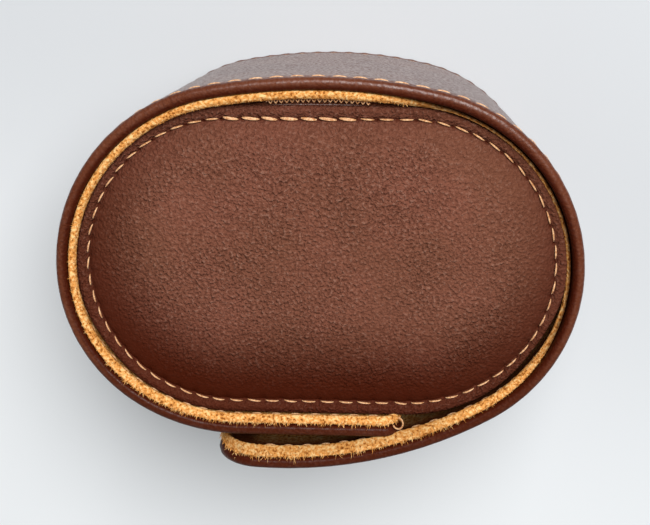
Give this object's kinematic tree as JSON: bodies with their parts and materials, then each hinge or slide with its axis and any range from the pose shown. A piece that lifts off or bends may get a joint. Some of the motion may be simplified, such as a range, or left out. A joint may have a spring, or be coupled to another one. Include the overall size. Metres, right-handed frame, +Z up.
{
  "type": "watch travel case",
  "caption": "Oval leather travel case for a wristwatch: a stitched wrap with snap flaps folds round a padded drum that holds a removable watch pillow.",
  "frame": {"origin": "middle of the case's bounding box on the surface it stands on", "axes": "+X across the oval's long way, +Y towards the spine, +Z up along the drum's axis; the flaps close on -Y"},
  "size_m": [0.1062, 0.083, 0.076],
  "materials": {
    "leather": "satin, pebbled grain",
    "suede": "matt, napped",
    "thread": "waxed",
    "board": "matt",
    "felt": "matt",
    "foam": "matt",
    "brass": "brushed, darkened"
  },
  "bodies": {
    "core": {"spine_leather": "leather", "spine_board": "board", "spine_felt": "felt", "spine_lining": "suede", "spine_stitches": "thread", "spine_pad": "leather", "spine_seam_stitches": "thread", "cradle_shell": "board", "cradle_lining": "suede", "top_end_face": "leather", "top_end_foam": "foam", "top_end_board": "board", "top_end_lining": "suede", "top_end_stitches": "thread", "base_end_face": "leather", "base_end_foam": "foam", "base_end_board": "board", "base_end_lining": "suede", "base_end_stitches": "thread"},
    "outer_side": {"outer_side_leather": "leather", "outer_side_board": "board", "outer_side_felt": "felt", "outer_side_lining": "suede", "outer_side_stitches": "thread"},
    "outer_flap": {"outer_flap_leather": "leather", "outer_flap_board": "board", "outer_flap_felt": "felt", "outer_flap_lining": "suede", "outer_flap_stitches": "thread", "snap_caps": "brass", "snap_sockets": "brass"},
    "inner_side": {"inner_side_leather": "leather", "inner_side_board": "board", "inner_side_felt": "felt", "inner_side_lining": "suede", "inner_side_stitches": "thread"},
    "inner_flap": {"inner_flap_leather": "leather", "inner_flap_board": "board", "inner_flap_felt": "felt", "inner_flap_lining": "suede", "inner_flap_stitches": "thread", "snap_studs": "brass", "snap_posts": "brass"},
    "pillow": {"pillow_cover": "suede", "pillow_foam": "foam", "pillow_ends": "leather", "pillow_core": "board"}
  },
  "joints": [
    {"name": "outer_shoulder", "type": "hinge", "parent": "core", "child": "outer_side", "pos_m": [0.02774, 0.03771, 0.038], "axis": [0, 0, 1], "range_deg": [0, 100]},
    {"name": "outer_crease", "type": "hinge", "parent": "outer_side", "child": "outer_flap", "pos_m": [0.04464, -0.0208, 0.038], "axis": [0, 0, 1], "range_deg": [0, 45]},
    {"name": "inner_shoulder", "type": "hinge", "parent": "core", "child": "inner_side", "pos_m": [-0.02778, 0.03805, 0.038], "axis": [0, 0, -1], "range_deg": [0, 75]},
    {"name": "inner_crease", "type": "hinge", "parent": "inner_side", "child": "inner_flap", "pos_m": [-0.04448, -0.02048, 0.038], "axis": [0, 0, -1], "range_deg": [0, 30]},
    {"name": "pillow_lift", "type": "slide", "parent": "core", "child": "pillow", "axis": [0, -1, 0], "range_m": [0, 0.03]}
  ],
  "couplings": [
    {"joint": "outer_crease", "follows": "outer_shoulder", "ratio": 0.45},
    {"joint": "inner_shoulder", "follows": "outer_shoulder", "ratio": 0.75},
    {"joint": "inner_crease", "follows": "outer_shoulder", "ratio": 0.3},
    {"joint": "pillow_lift", "follows": "outer_shoulder", "m_per_rad": 0.017187}
  ]
}
